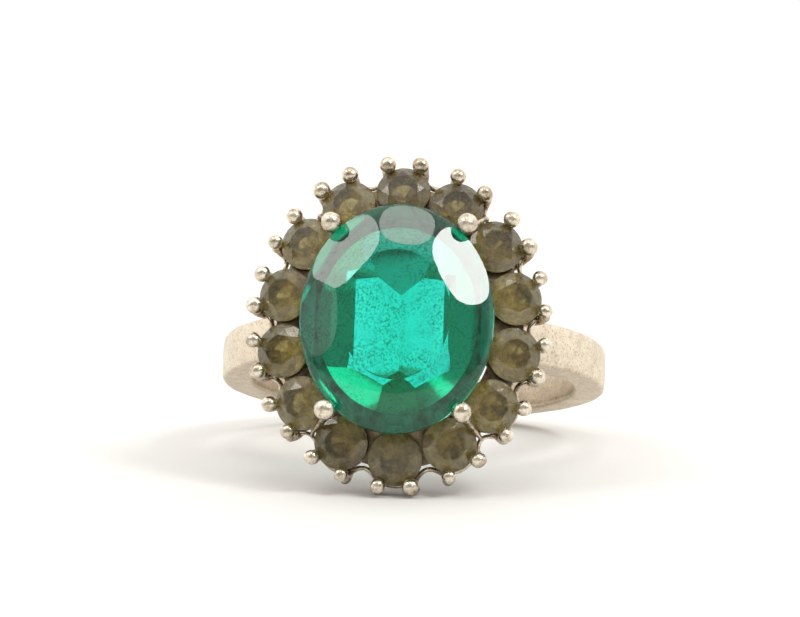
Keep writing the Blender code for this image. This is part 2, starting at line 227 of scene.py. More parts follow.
class Shader:
    """Small helper that adds and links nodes of one material."""

    def __init__(self, name):
        self.material = bpy.data.materials.new(name)
        self.material.use_nodes = True
        self.tree = self.material.node_tree
        self.surface = self.tree.nodes["Principled BSDF"]
        self.output = self.tree.nodes["Material Output"]
        self.place = self.millimetres()

    def node(self, kind, **values):
        made = self.tree.nodes.new(kind)
        for key, value in values.items():
            setattr(made, key, value)
        return made

    def link(self, source, target):
        self.tree.links.new(source, target)

    def millimetres(self):
        """Object coordinates in millimetres."""
        coordinates = self.node("ShaderNodeTexCoord")
        scale = self.node("ShaderNodeMapping")
        scale.inputs["Scale"].default_value = (1.0 / MM, 1.0 / MM, 1.0 / MM)
        self.link(coordinates.outputs["Object"], scale.inputs["Vector"])
        return scale.outputs["Vector"]

    def stretched(self, turn, stretch):
        """The same coordinates turned and stretched, for brushed or streaked patterns."""
        mapping = self.node("ShaderNodeMapping")
        mapping.inputs["Rotation"].default_value = turn
        mapping.inputs["Scale"].default_value = stretch
        self.link(self.place, mapping.inputs["Vector"])
        return mapping.outputs["Vector"]

    def noise(self, scale, detail=3.0, roughness=0.55, vector=None):
        texture = self.node("ShaderNodeTexNoise")
        texture.inputs["Scale"].default_value = scale
        texture.inputs["Detail"].default_value = detail
        texture.inputs["Roughness"].default_value = roughness
        self.link(vector or self.place, texture.inputs["Vector"])
        return texture.outputs["Fac"]

    def attribute(self, name):
        """A number stored on the faces of the mesh."""
        made = self.node("ShaderNodeAttribute", attribute_name=name)
        return made.outputs["Fac"]

    def remap(self, source, low, high, to_low, to_high):
        """Stretches a range of values onto another one."""
        stretch = self.node("ShaderNodeMapRange")
        stretch.inputs["From Min"].default_value = low
        stretch.inputs["From Max"].default_value = high
        stretch.inputs["To Min"].default_value = to_low
        stretch.inputs["To Max"].default_value = to_high
        self.link(source, stretch.inputs["Value"])
        return stretch.outputs["Result"]

    def ramp(self, source, *stops):
        """Colours a value by stops, given as (position, colour)."""
        colours = self.node("ShaderNodeValToRGB")
        elements = colours.color_ramp.elements
        while len(elements) < len(stops):
            elements.new(0.5)
        for element, (position, colour) in zip(elements, stops):
            element.position = position
            element.color = (*colour, 1.0)
        self.link(source, colours.inputs["Fac"])
        return colours.outputs["Color"]

    def mix(self, factor, first, second, blend="MIX"):
        """Mixes two colours; each is a socket or a plain colour."""
        mixer = self.node("ShaderNodeMix", data_type="RGBA", blend_type=blend)
        if isinstance(factor, float):
            mixer.inputs[0].default_value = factor
        else:
            self.link(factor, mixer.inputs[0])
        for socket, colour in ((mixer.inputs[6], first), (mixer.inputs[7], second)):
            if isinstance(colour, tuple):
                socket.default_value = (*colour, 1.0)
            else:
                self.link(colour, socket)
        return mixer.outputs[2]

    def math(self, operation, first, second):
        made = self.node("ShaderNodeMath", operation=operation)
        for socket, value in ((made.inputs[0], first), (made.inputs[1], second)):
            if isinstance(value, float):
                socket.default_value = value
            else:
                self.link(value, socket)
        return made.outputs[0]

    def bump(self, *layers):
        """Chains bumps, given as (height socket, strength, depth in millimetres)."""
        normal = None
        for height, strength, depth in layers:
            made = self.node("ShaderNodeBump")
            made.inputs["Strength"].default_value = strength
            made.inputs["Distance"].default_value = depth * MM
            self.link(height, made.inputs["Height"])
            if normal is not None:
                self.link(normal, made.inputs["Normal"])
            normal = made.outputs["Normal"]
        self.link(normal, self.surface.inputs["Normal"])

    def absorb(self, colour, density):
        """Fills the body with a plain absorbing tint."""
        volume = self.node("ShaderNodeVolumeAbsorption")
        volume.inputs["Color"].default_value = (*colour, 1.0)
        volume.inputs["Density"].default_value = density
        self.link(volume.outputs["Volume"], self.output.inputs["Volume"])


def set_values(shader, **values):
    for name, value in values.items():
        shader.surface.inputs[name.replace("_", " ")].default_value = value


def scratch_height(shader, scale, turn):
    """Fine scratches that run mostly one way."""
    lines = shader.stretched((0.0, 0.0, turn), (1.0, 9.0, 9.0))
    return shader.noise(scale, 4.0, 0.7, lines)


def silver(name, bright, dull, rough_low, rough_high, bump_depth):
    """Worn warm silver: mottled tarnish, uneven gloss, scratches and pits.

    The faces may carry a number "shaded": how strongly a painted shade darkens them.
    """
    shader = Shader(name)
    shaded = shader.attribute("shaded")
    mottle = shader.noise(1.6, 5.0, 0.6)
    grain = shader.noise(9.0, 4.0, 0.6)
    tone = shader.ramp(mottle, (0.34, dull), (0.60, bright))
    # Painted shade: a brownish tint multiplied into the colour as far as the faces are "shaded".
    painted_shade = shader.mix(mottle, (0.34, 0.27, 0.20), (0.62, 0.52, 0.42))
    tone = shader.mix(shaded, tone, shader.mix(1.0, tone, painted_shade, "MULTIPLY"))
    speck = shader.ramp(grain, (0.36, (0.50, 0.42, 0.34)), (0.46, (1.0, 1.0, 1.0)))
    colour = shader.mix(0.70, tone, speck, "MULTIPLY")
    shader.link(colour, shader.surface.inputs["Base Color"])
    gloss = shader.remap(shader.noise(5.0, 3.0), 0.3, 0.7, rough_low, rough_high)
    shader.link(gloss, shader.surface.inputs["Roughness"])
    set_values(shader, Metallic=1.0)
    shader.bump(
        (scratch_height(shader, 3.5, 0.5), 0.35, bump_depth),
        (scratch_height(shader, 4.5, -0.9), 0.25, bump_depth),
        (grain, 0.30, bump_depth * 1.5),
        (mottle, 0.40, bump_depth * 6.0),
    )
    return shader.material


def centre_glass(name):
    """Emerald-green glass: specks of dirt on its underside and fine wear on its crown.

    The faces carry three numbers: "underside" for the pavilion, "seated" for painted shade near the
    girdle and for a darker keel, and "painted" for how much of the clear glass a green coat of
    painted light and shade takes the place of.
    """
    shader = Shader(name)
    underside = shader.attribute("underside")
    set_values(shader, IOR=1.52)
    cluster = shader.remap(shader.noise(0.55, 2.0), 0.36, 0.58, 0.15, 1.0)
    dots = shader.remap(shader.noise(7.5, 5.0, 0.75), 0.43, 0.51, 1.0, 0.0)
    dirt_and_shade = shader.math("MULTIPLY", dots, cluster)
    film = shader.ramp(
        shader.noise(1.3, 4.0, 0.65),
        (0.35, (0.66, 0.74, 0.70)),
        (0.60, (0.94, 0.99, 0.97)),
    )
    below = shader.mix(dirt_and_shade, film, (0.08, 0.16, 0.11))
    # Painted shade: dark green on the faces that "seated" marks, near the girdle and on the keel.
    below = shader.mix(shader.attribute("seated"), below, (0.05, 0.15, 0.10))
    # Painted light and shade: a diffuse green coat with specks takes the place of clear glass as
    # far as "painted".
    painted = shader.attribute("painted")
    paint = shader.mix(dirt_and_shade, (0.03, 0.40, 0.25), (0.02, 0.16, 0.10))
    below = shader.mix(painted, below, paint)
    clear = shader.math("SUBTRACT", 1.0, painted)
    shader.link(clear, shader.surface.inputs["Transmission Weight"])
    wear = shader.ramp(
        shader.noise(11.0, 2.0),
        (0.24, (0.45, 0.55, 0.48)),
        (0.29, (1.0, 1.0, 1.0)),
    )
    shader.link(shader.mix(underside, wear, below), shader.surface.inputs["Base Color"])
    gloss = shader.remap(shader.noise(2.5, 4.0), 0.35, 0.75, 0.0, 0.03)
    haze = shader.remap(shader.noise(3.0, 4.0), 0.35, 0.80, 0.0, 0.10)
    rough = shader.math("ADD", gloss, shader.math("MULTIPLY", haze, underside))
    shader.link(rough, shader.surface.inputs["Roughness"])
    shader.bump(
        (scratch_height(shader, 2.5, 0.7), 0.08, 0.004),
        (shader.noise(0.9, 2.0), 0.12, 0.02),
    )
    shader.absorb((0.10, 0.946, 0.894), 1000.0)
    return shader.material


def halo_glass(name):
    """Dulled smoky glass: dirt coats its underside, and its crown facets are rubbed pale.

    The faces carry three numbers: "underside" for the pavilion, "slopes" for how cloudy a facet
    is and "brown" for how brown it is.
    """
    shader = Shader(name)
    underside = shader.attribute("underside")
    slopes = shader.attribute("slopes")
    set_values(shader, IOR=1.55)
    film = shader.ramp(
        shader.noise(1.9, 5.0, 0.65),
        (0.32, (0.13, 0.10, 0.03)),
        (0.48, (0.48, 0.40, 0.17)),
        (0.62, (0.96, 0.86, 0.50)),
    )
    wear = shader.ramp(
        shader.noise(6.0, 4.0, 0.7),
        (0.30, (0.55, 0.50, 0.36)),
        (0.48, (0.96, 0.92, 0.78)),
    )
    rubbed = shader.ramp(
        shader.noise(3.2, 5.0, 0.7),
        (0.32, (0.36, 0.29, 0.12)),
        (0.64, (0.94, 0.83, 0.50)),
    )
    colour = shader.mix(underside, shader.mix(slopes, wear, rubbed), film)
    colour = shader.mix(shader.attribute("brown"), colour, (0.16, 0.11, 0.04))
    shader.link(colour, shader.surface.inputs["Base Color"])
    gloss = shader.remap(shader.noise(5.0, 5.0, 0.7), 0.35, 0.75, 0.02, 0.20)
    rough = shader.math("ADD", gloss, shader.math("MULTIPLY", underside, 0.18))
    shader.link(rough, shader.surface.inputs["Roughness"])
    clear = shader.remap(underside, 0.0, 1.0, 1.0, 0.40)
    patches = shader.remap(shader.noise(2.6, 4.0, 0.7), 0.30, 0.70, 0.55, 0.85)
    cloudy = shader.math("MULTIPLY", slopes, shader.math("SUBTRACT", 1.0, patches))
    through = shader.math("SUBTRACT", clear, cloudy)
    shader.link(through, shader.surface.inputs["Transmission Weight"])
    shader.bump(
        (scratch_height(shader, 3.5, 0.3), 0.15, 0.006),
        (shader.noise(2.2, 3.0), 0.25, 0.02),
    )
    shader.absorb((0.88, 0.84, 0.50), 900.0)
    return shader.material


# ---------------------------------------------------------------------------------------------
# Mesh building, in millimetres in the ring's frame
# ---------------------------------------------------------------------------------------------


def finish_piece(name, bm, material, node_name, sharp_angle):
    """Turns a bmesh in the ring's frame into the piece that stands for a CAD node."""
    bmesh.ops.recalc_face_normals(bm, faces=bm.faces)
    bmesh.ops.transform(bm, matrix=TO_WORLD, verts=bm.verts)
    mesh = bpy.data.meshes.new(name)
    bm.to_mesh(mesh)
    bm.free()
    mesh.materials.append(material)
    mesh.shade_smooth()
    mesh.set_sharp_from_angle(angle=math.radians(sharp_angle))
    piece = bpy.data.objects.new(name, mesh)
    bpy.context.scene.collection.objects.link(piece)
    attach(piece, "root")
    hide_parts(node_name)


def loft(bm, rings, closed):
    """Joins rings of points into a skin; an open one gets flat ends."""
    made = [[bm.verts.new(point) for point in ring] for ring in rings]
    pairs = list(zip(made, made[1:]))
    if closed:
        pairs.append((made[-1], made[0]))
    count = len(made[0])
    for first, second in pairs:
        for index in range(count):
            following = (index + 1) % count
            bm.faces.new((first[index], first[following], second[following], second[index]))
    if not closed:
        bm.faces.new(made[0])
        bm.faces.new(made[-1])


def smooth_path(points, values, steps):
    """Catmull-Rom points through control points, with a value carried along."""
    path = []
    carried = []
    for index in range(len(points) - 1):
        before = points[max(index - 1, 0)]
        first = points[index]
        second = points[index + 1]
        after = points[min(index + 2, len(points) - 1)]
        for step in range(steps):
            t = step / steps
            path.append(
                0.5
                * (
                    2.0 * first
                    + (second - before) * t
                    + (2.0 * before - 5.0 * first + 4.0 * second - after) * t * t
                    + (3.0 * first - before - 3.0 * second + after) * t * t * t
                )
            )
            carried.append(values[index] * (1.0 - t) + values[index + 1] * t)
    path.append(points[-1])
    carried.append(values[-1])
    return path, carried


def tube(bm, points, radii, sides, closed=False, uneven=0.0, seed=0.0):
    """Round wire along points, carried without twisting; uneven makes it slightly lumpy."""
    count = len(points)
    tangents = []
    for index in range(count):
        if closed:
            step = points[(index + 1) % count] - points[index - 1]
        else:
            step = points[min(index + 1, count - 1)] - points[max(index - 1, 0)]
        tangents.append(step.normalized())
    side = tangents[0].orthogonal().normalized()
    rings = []
    for point, tangent, radius in zip(points, tangents, radii):
        side = (side - tangent * side.dot(tangent)).normalized()
        other = tangent.cross(side)
        ring = []
        for number in range(sides):
            angle = 2.0 * math.pi * number / sides
            direction = side * math.cos(angle) + other * math.sin(angle)
            place = point + direction * radius
            lump = noise.noise(place * 1.7 + Vector((seed, 0.0, 0.0))) * uneven
            ring.append(place + direction * lump)
        rings.append(ring)
    loft(bm, rings, closed)


def oval_point(half_across, half_along, angle, outside, out):
    """A point outside an oval, measured square to it, at a parameter angle."""
    normal = Vector((math.cos(angle) / half_across, math.sin(angle) / half_along, 0.0)).normalized()
    on_oval = Vector((half_across * math.cos(angle), half_along * math.sin(angle), out))
    return on_oval + normal * outside


def node_mesh(name):
    """Faces of a CAD node in the ring's frame, as (normal, area, centre), and its points."""
    mesh = frame["nodes"][name].data
    turn = TO_RING.to_3x3()
    faces = []
    for polygon in mesh.polygons:
        normal = (turn @ polygon.normal).normalized()
        faces.append((normal, polygon.area, TO_RING @ polygon.center))
    points = [TO_RING @ vertex.co for vertex in mesh.vertices]
    return faces, points


def stone_frame(name):
    """Middle of the girdle, table direction and girdle radius of a round CAD stone."""
    faces, points = node_mesh(name)
    best = 0.0
    for normal, _, _ in faces:
        same = [entry for entry in faces if entry[0].dot(normal) > 0.9999]
        total = sum(entry[1] for entry in same)
        if total > best:
            best = total
            table = normal
            middle = sum((entry[2] * entry[1] for entry in same), Vector()) / total
    reach = [((point - middle) - table * (point - middle).dot(table)).length for point in points]
    radius = max(reach)
    rim = [point for point, distance in zip(points, reach) if distance > 0.999 * radius]
    depth = sum((point - middle).dot(table) for point in rim) / len(rim)
    return middle + table * depth, table, radius


def halo_directions(table):
    """Outward and sideways directions of a halo stone that leans by its table direction."""
    flat = Vector((table.x, table.y, 0.0)).normalized()
    outward = (flat - table * flat.dot(table)).normalized()
    return outward, table.cross(outward)


def cut_plane(bm, point, normal):
    """Grinds a stone down to a plane and closes the cut."""
    cut = bmesh.ops.bisect_plane(
        bm,
        geom=bm.verts[:] + bm.edges[:] + bm.faces[:],
        dist=0.00001,
        plane_co=point,
        plane_no=normal,
        clear_outer=True,
    )
    rim = [item for item in cut["geom_cut"] if isinstance(item, bmesh.types.BMEdge)]
    open_rim = [edge for edge in rim if len(edge.link_faces) == 1]
    if len(open_rim) > 2:
        bmesh.ops.edgeloop_fill(bm, edges=open_rim)


def cut_slope(bm, turn, slope, reach, height, side):
    """Cuts the facet that rises inwards with a slope and passes a reach and a height."""
    flat = Vector((math.cos(turn), math.sin(turn), 0.0))
    normal = (flat * slope + Vector((0.0, 0.0, side))).normalized()
    cut_plane(bm, flat * reach + Vector((0.0, 0.0, height)), normal)


def wear_edges(bm, width):
    """Takes the sharpness off the edges between facets."""
    edges = [
        edge
        for edge in bm.edges
        if len(edge.link_faces) == 2 and edge.calc_face_angle(0.0) > WEAR_MIN_ANGLE
    ]
    bmesh.ops.bevel(
        bm,
        geom=edges,
        offset=width,
        offset_type="OFFSET",
        segments=1,
        profile=0.5,
        affect="EDGES",
        clamp_overlap=True,
    )


def centre_stone_shape(half_across, half_along):
    """The oval stone: a fire-polished domed crown with six facets, and a keeled pavilion."""
    top = CENTRE_GIRDLE / 2.0
    high = CENTRE_CROWN_TOP - top
    knots = [Vector(knot) for knot in DOME_OUTLINE]
    dome, _ = smooth_path(knots, [0.0] * len(knots), DOME_STEPS)
    profile = [(1.0, -KEEL_DEPTH - 1.0)] + [(knot.x, top + knot.y * high) for knot in dome]
    bm = bmesh.new()
    rings = []
    for reach, height in profile:
        ring = []
        for number in range(DOME_SIDES):
            angle = 2.0 * math.pi * number / DOME_SIDES
            across = half_across * reach * math.cos(angle)
            along = half_along * reach * math.sin(angle)
            ring.append(Vector((across, along, height)))
        rings.append(ring)
    loft(bm, rings, False)
    for degrees, angle, shift in CROWN_FACETS:
        turn = math.radians(degrees)
        normal = Vector((math.cos(turn) / half_across, math.sin(turn) / half_along, 0.0))
        reach = 1.0 + shift / half_across
        through = Vector((half_across * math.cos(turn), half_along * math.sin(turn), 0.0)) * reach
        through.z = top + CROWN_FACET_ABOVE
        slope = math.tan(math.radians(angle)) * half_across
        cut_plane(bm, through, (normal * slope + Vector((0.0, 0.0, 1.0))).normalized())
    keel = -KEEL_DEPTH
    for turn in (0.0, math.pi):
        cut_slope(bm, turn, KEEL_SLOPE, 0.0, keel, -1.0)
        cut_slope(bm, turn, OUTER_SIDE_SLOPE, half_across, -top - OUTER_SIDE_BELOW, -1.0)
    quarter = math.pi / 2.0
    for turn, reach in ((quarter, KEEL_HALF_LENGTH), (-quarter, KEEL_LOWER_LENGTH)):
        cut_slope(bm, turn, END_SLOPE, reach, keel, -1.0)
        cut_slope(bm, turn, OUTER_END_SLOPE, half_along, -top - OUTER_END_BELOW, -1.0)
    peak = Vector((DIAGONAL_ACROSS, KEEL_HALF_LENGTH + DIAGONAL_BEYOND_KEEL))
    peak_height = keel + KEEL_SLOPE * peak.x
    reach = peak.x * math.cos(DIAGONAL_TURN) + peak.y * math.sin(DIAGONAL_TURN)
    for turn in (DIAGONAL_TURN, math.pi - DIAGONAL_TURN):
        cut_slope(bm, turn, UPPER_DIAGONAL_SLOPE, reach, peak_height, -1.0)
        cut_slope(bm, -turn, LOWER_DIAGONAL_SLOPE, reach, peak_height, -1.0)
    cut_rim_facets(bm, half_across, half_along, -top - RIM_FACET_BELOW)
    return bm


def cut_rim_facets(bm, half_across, half_along, height):
    """Short steep facets all round, just under the girdle."""
    for number in range(RIM_FACETS):
        angle = (number + 0.5) * 2.0 * math.pi / RIM_FACETS
        flat = Vector((math.cos(angle) / half_across, math.sin(angle) / half_along, 0.0))
        through = Vector((half_across * math.cos(angle), half_along * math.sin(angle), height))
        normal = flat.normalized() * RIM_FACET_SLOPE + Vector((0.0, 0.0, -1.0))
        cut_plane(bm, through, normal.normalized())


def round_stone_shape(radius, generator):
    """A small round brilliant, not cut very exactly."""
    top = HALO_GIRDLE / 2.0
    table_reach = HALO_TABLE_RATIO * radius
    high = top + (radius - table_reach) * HALO_CROWN_SLOPE
    bm = bmesh.new()
    bmesh.ops.create_cone(
        bm,
        cap_ends=True,
        segments=48,
        radius1=radius,
        radius2=radius,
        depth=radius * 4.0,
    )
    cut_plane(bm, Vector((0.0, 0.0, high)), Vector((0.0, 0.0, 1.0)))
    for number in range(8):
        turn = number * math.pi / 4.0
        slack = generator.uniform(0.97, 1.03)
        cut_slope(bm, turn, HALO_CROWN_SLOPE * slack, radius, top, 1.0)
        cut_slope(bm, turn, HALO_PAVILION_SLOPE, radius, -top, -1.0)
        star = turn + math.pi / 8.0
        star_slope = HALO_CROWN_SLOPE * HALO_STAR_SHARE * slack
        cut_slope(bm, star, star_slope, table_reach * math.cos(math.pi / 8.0), high, 1.0)
    for number in range(16):
        turn = (number + 0.5) * math.pi / 8.0
        cut_slope(bm, turn, HALO_CROWN_SLOPE * HALO_UPPER_SHARE, radius, top, 1.0)
        cut_slope(bm, turn, HALO_PAVILION_SLOPE * HALO_LOWER_SHARE, radius, -top, -1.0)
    return bm


def mark_facets(bm, half_across, half_along, cloud, tint):
    """Stores on each face the numbers that the glass materials read.

    "underside" is 1 on the pavilion; "seated" is painted shade near the girdle, where the seat
    holds the stone, and a darkening of the keel's flat; "painted" is the green coat of painted
    light and shade on the centre stone's end and side facets; "slopes" and "brown" make a facet
    cloudy or brown, each facet a little differently, by the stone's own cloud and tint.
    """
    underside = bm.faces.layers.float.new("underside")
    seated = bm.faces.layers.float.new("seated")
    slopes = bm.faces.layers.float.new("slopes")
    brown = bm.faces.layers.float.new("brown")
    painted = bm.faces.layers.float.new("painted")
    bm.normal_update()
    for face in bm.faces:
        centre = face.calc_center_median()
        reach = math.hypot(centre.x / half_across, centre.y / half_along)
        below = face.normal.z < UNDERSIDE_LEVEL
        face[underside] = 1.0 if below else 0.0
        # Painted shade near the girdle, where the seat holds the stone; the keel's flat is darkened
        # as well.
        near_girdle = min(max((reach - 0.90) / 0.10, 0.0), 1.0)
        face[seated] = KEEL_DARKENING if face.normal.z < -FLAT_LEVEL else near_girdle
        # Painted light and shade: the green coat on the end and side facets of the underside.
        upper_end = face.normal.y > 0.25 and face.normal.z > -0.84
        lower_end = face.normal.y < -0.25
        outer_side = abs(face.normal.x) > 0.6
        if below and upper_end:
            face[painted] = UPPER_END_LIGHT_AND_SHADE
        elif below and lower_end:
            face[painted] = LOWER_END_LIGHT_AND_SHADE
        elif below and outer_side:
            face[painted] = OUTER_SIDE_LIGHT_AND_SHADE
        change = noise.noise(face.normal * 7.0 + Vector((tint * 50.0, cloud * 30.0, 0.0)))
        steep = cloud if not below and face.normal.z < FLAT_LEVEL else cloud * 0.25
        face[slopes] = steep * min(max(1.0 + 1.6 * change, 0.0), 1.4)
        face[brown] = min(max(tint + 0.9 * change, 0.0), 0.75)


def place_shape(bm, middle, outward, sideways, table):
    """Moves a stone from its own axes to its place in the ring."""
    basis = Matrix((outward, sideways, table)).transposed().to_4x4()
    bmesh.ops.transform(bm, matrix=Matrix.Translation(middle) @ basis, verts=bm.verts)


def bead_profile(radius, wire_radius, steps):
    """Heights and radii of a round bead from its crown down to where the wire leaves it."""
    last = math.pi - math.asin(wire_radius / radius)
    first = math.radians(6.0)
    profile = []
    for step in range(steps):
        angle = first + (last - first) * step / (steps - 1)
        profile.append((radius * math.cos(angle), radius * math.sin(angle)))
    return profile


# ---------------------------------------------------------------------------------------------
# The pieces
# ---------------------------------------------------------------------------------------------


def build_claw(
    name, node, bead, lift, run, run_radii, bead_radius, material, seed, painted_shade, bar=None
):
    """A claw: a bead on the end of a bent wire, with or without a thin bar soldered to it."""
    generator = random.Random(seed)
    squeeze = generator.uniform(0.95, 1.04)
    profile = bead_profile(bead_radius * squeeze, run_radii[0], BEAD_STEPS)
    points = [bead + lift * height for height, _ in profile]
    radii = [radius for _, radius in profile]
    path, widths = smooth_path([points[-1]] + run, [run_radii[0]] + run_radii, CLAW_STEPS)
    bm = bmesh.new()
    tube(bm, points + path[1:], radii + widths[1:], CLAW_SIDES, False, CLAW_LUMPS, seed * 3.1)
    claw_faces = len(bm.faces)
    if bar is not None:
        line, widths = smooth_path(bar, [BAR_RADIUS] * len(bar), BAR_STEPS)
        tube(bm, line, widths, BAR_SIDES, False, BAR_LUMPS, seed * 1.7)
    shaded = bm.faces.layers.float.new("shaded")
    # Painted shade: the further a face lies below the bead, the darker it is, up to a cap; bars get
    # a fixed amount.
    for count, face in enumerate(bm.faces):
        depth = (bead - face.calc_center_median()).dot(lift) / bead_radius
        dirt_and_shade = min(max(depth - 0.7, 0.0), painted_shade)
        face[shaded] = dirt_and_shade if count < claw_faces else BAR_SHADE
    finish_piece(name, bm, material, node, METAL_SHARP_ANGLE)


def halo_claw_direction(stone, side):
    """The direction from the middle of a halo stone to one of its two claws."""
    outward, sideways = halo_directions(stone[1])
    return outward * math.cos(HALO_CLAW_SPREAD) + sideways * (side * math.sin(HALO_CLAW_SPREAD))


def lip_between_claws(stone):
    """The rim of a halo stone's setting that shows between its two claws."""
    middle, table, radius = stone
    outward, sideways = halo_directions(table)
    line = []
    for step in range(BAR_SPANS + 1):
        angle = HALO_CLAW_SPREAD * (1.0 - 2.0 * step / BAR_SPANS)
        direction = outward * math.cos(angle) + sideways * math.sin(angle)
        line.append(middle + direction * (radius + LIP_OUTSIDE) - table * LIP_BELOW)
    return line


def bar_to_next(stone, following):
    """The bar that joins the claws of two neighbouring halo stones, curving inwards."""
    starts = []
    for (middle, table, radius), side in ((stone, -1.0), (following, 1.0)):
        direction = halo_claw_direction((middle, table, radius), side)
        starts.append(middle + direction * (radius + HALO_WIRE_RADIUS) - table * BAR_BELOW)
    first, last = starts
    inward = ((stone[0] + following[0]) / 2.0 - (first + last) / 2.0).normalized()
    line = []
    for step in range(BAR_SPANS + 1):
        share = step / BAR_SPANS
        line.append(first.lerp(last, share) + inward * (BAR_BEND * math.sin(math.pi * share)))
    return line


def build_halo_claws(stones, material):
    """Two claws for each halo stone; the second one carries the bar to the next stone."""
    number = 0
    generator = random.Random(11)
    wire = HALO_WIRE_RADIUS
    for place, stone in enumerate(stones):
        middle, table, radius = stone
        for side in (1.0, -1.0):
            number += 1
            radial = halo_claw_direction(stone, side)
            radial = (radial + table.cross(radial) * generator.uniform(-0.03, 0.03)).normalized()
            above = HALO_BEAD_ABOVE + generator.uniform(-0.04, 0.04)
            bead = middle + radial * (radius + HALO_BEAD_OUTSIDE) + table * above
            neck = middle + radial * (radius + wire + HALO_CLAW_GAP)
            turn = math.atan2(neck.y / HALO_HALF_ALONG, neck.x / HALO_HALF_ACROSS)
            beside = LOWER_WIRE_RADIUS + wire + LOWER_CLAW_GAP
            run = [neck, neck - table * HALO_CLAW_STRAIGHT]
            for out in (LOWER_OUT + 0.45, LOWER_OUT - 0.08):
                run.append(oval_point(LOWER_HALF_ACROSS, LOWER_HALF_ALONG, turn, beside, out))
            if side > 0.0:
                bar = lip_between_claws(stone)
            else:
                bar = bar_to_next(stone, stones[(place + 1) % len(stones)])
            name = f"halo_claw_bead_{number:02d}"
            node = f"halo_claw_{number:02d}"
            size = HALO_BEAD_RADIUS * generator.uniform(0.92, 1.10)
            radii = [wire] * len(run)
            painted_shade = HALO_CLAW_SHADE
            build_claw(name, node, bead, table, run, radii, size, material, number, painted_shade, bar)


def build_centre_claws(middle, halo, material):
    """The four claws of the centre stone, each running down the groove between two halo stones."""
    lift = Vector((0.0, 0.0, 1.0))
    # Each station: how far outside the middle line of the halo, how far out, and the radius.
    stations = [
        (-0.60, middle.z, 0.34),
        (-0.42, middle.z - 0.53, 0.29),
        (-0.20, middle.z - 0.93, 0.22),
        (0.06, HALO_OUT + 0.38, 0.16),
        (0.36, HALO_OUT + 0.07, 0.13),
        (0.52, HALO_OUT - 0.20, 0.12),
        (0.60, HALO_OUT - 0.60, 0.12),
    ]
    radii = [radius for _, _, radius in stations]
    for number, (before, after) in enumerate(CENTRE_CLAW_GROOVES, start=1):
        between = (halo[before][0] + halo[after][0]) / 2.0
        angle = math.atan2(between.y / HALO_HALF_ALONG, between.x / HALO_HALF_ACROSS)
        run = [
            oval_point(HALO_HALF_ACROSS, HALO_HALF_ALONG, angle, outside, out)
            for outside, out, _ in stations
        ]
        above = middle.z + CENTRE_BEAD_ABOVE
        bead = oval_point(HALO_HALF_ACROSS, HALO_HALF_ALONG, angle, -CENTRE_BEAD_INSIDE, above)
        name = f"centre_claw_bead_{number}"
        node = f"centre_claw_{number}"
        size = CENTRE_BEAD_RADIUS
        painted_shade = CENTRE_CLAW_SHADE
        build_claw(name, node, bead, lift, run, radii, size, material, 40 + number, painted_shade)


def shank_section(angle):
    """Points round the band at an angle from the across direction towards the face."""
    middle = (SHANK_INNER_RADIUS + SHANK_OUTER_RADIUS) / 2.0
    out = middle * math.sin(angle)
    half = (SHANK_MEAN_WIDTH + SHANK_WIDTH_GROWTH * out) / 2.0
    outer = SHANK_OUTER_RADIUS
    inner = SHANK_INNER_RADIUS
    corners = [
        (outer - SHANK_CORNER, half - SHANK_CORNER, 0.0),
        (inner + SHANK_CORNER, half - SHANK_CORNER, math.pi / 2.0),
        (inner + SHANK_CORNER, -half + SHANK_CORNER, math.pi),
        (outer - SHANK_CORNER, -half + SHANK_CORNER, 1.5 * math.pi),
    ]
    outline = []
    for number, (distance, along, first) in enumerate(corners):
        for step in range(SHANK_CORNER_STEPS + 1):
            turn = first + step * math.pi / 2.0 / SHANK_CORNER_STEPS
            across = SHANK_CORNER * math.cos(turn)
            outline.append((distance + across, along + SHANK_CORNER * math.sin(turn)))
        following = corners[(number + 1) % 4]
        end = outline[-1]
        start = (
            following[0] + SHANK_CORNER * math.cos(following[2]),
            following[1] + SHANK_CORNER * math.sin(following[2]),
        )
        for step in range(1, SHANK_FLAT_STEPS):
            share = step / SHANK_FLAT_STEPS
            across = end[0] + (start[0] - end[0]) * share
            outline.append((across, end[1] + (start[1] - end[1]) * share))
    points = []
    rise = max(0.0, min(1.0, (out - SHANK_SHOULDER_FROM) / SHANK_SHOULDER_RISE))
    thicker = SHANK_SHOULDER * rise**2
    for distance, along in outline:
        distance -= thicker * (outer - distance) / (outer - inner)
        crown = 1.0 - (along / half) ** 2
        swell = SHANK_CROWN * crown if distance > middle else -SHANK_HOLLOW * crown
        distance += swell * abs(distance - middle) / (outer - middle)
        place = Vector((distance * math.cos(angle), along, distance * math.sin(angle)))
        depth = distance - middle
        away = Vector((math.cos(angle) * depth, along, math.sin(angle) * depth))
        soft = noise.noise(place * 0.45) * 0.035 + noise.noise(place * 1.6) * 0.010
        solder = max(0.0, (place.z - SOLDER_FROM) / SOLDER_RISE)
        rough = noise.noise(place * 3.4 + Vector((7.0, 3.0, 1.0))) * SOLDER_LUMPS * solder
        place += away.normalized() * (soft + rough - 0.012)
        place.z = min(place.z, SHANK_TOP_OUT + 0.02)
        points.append(place)
    return points


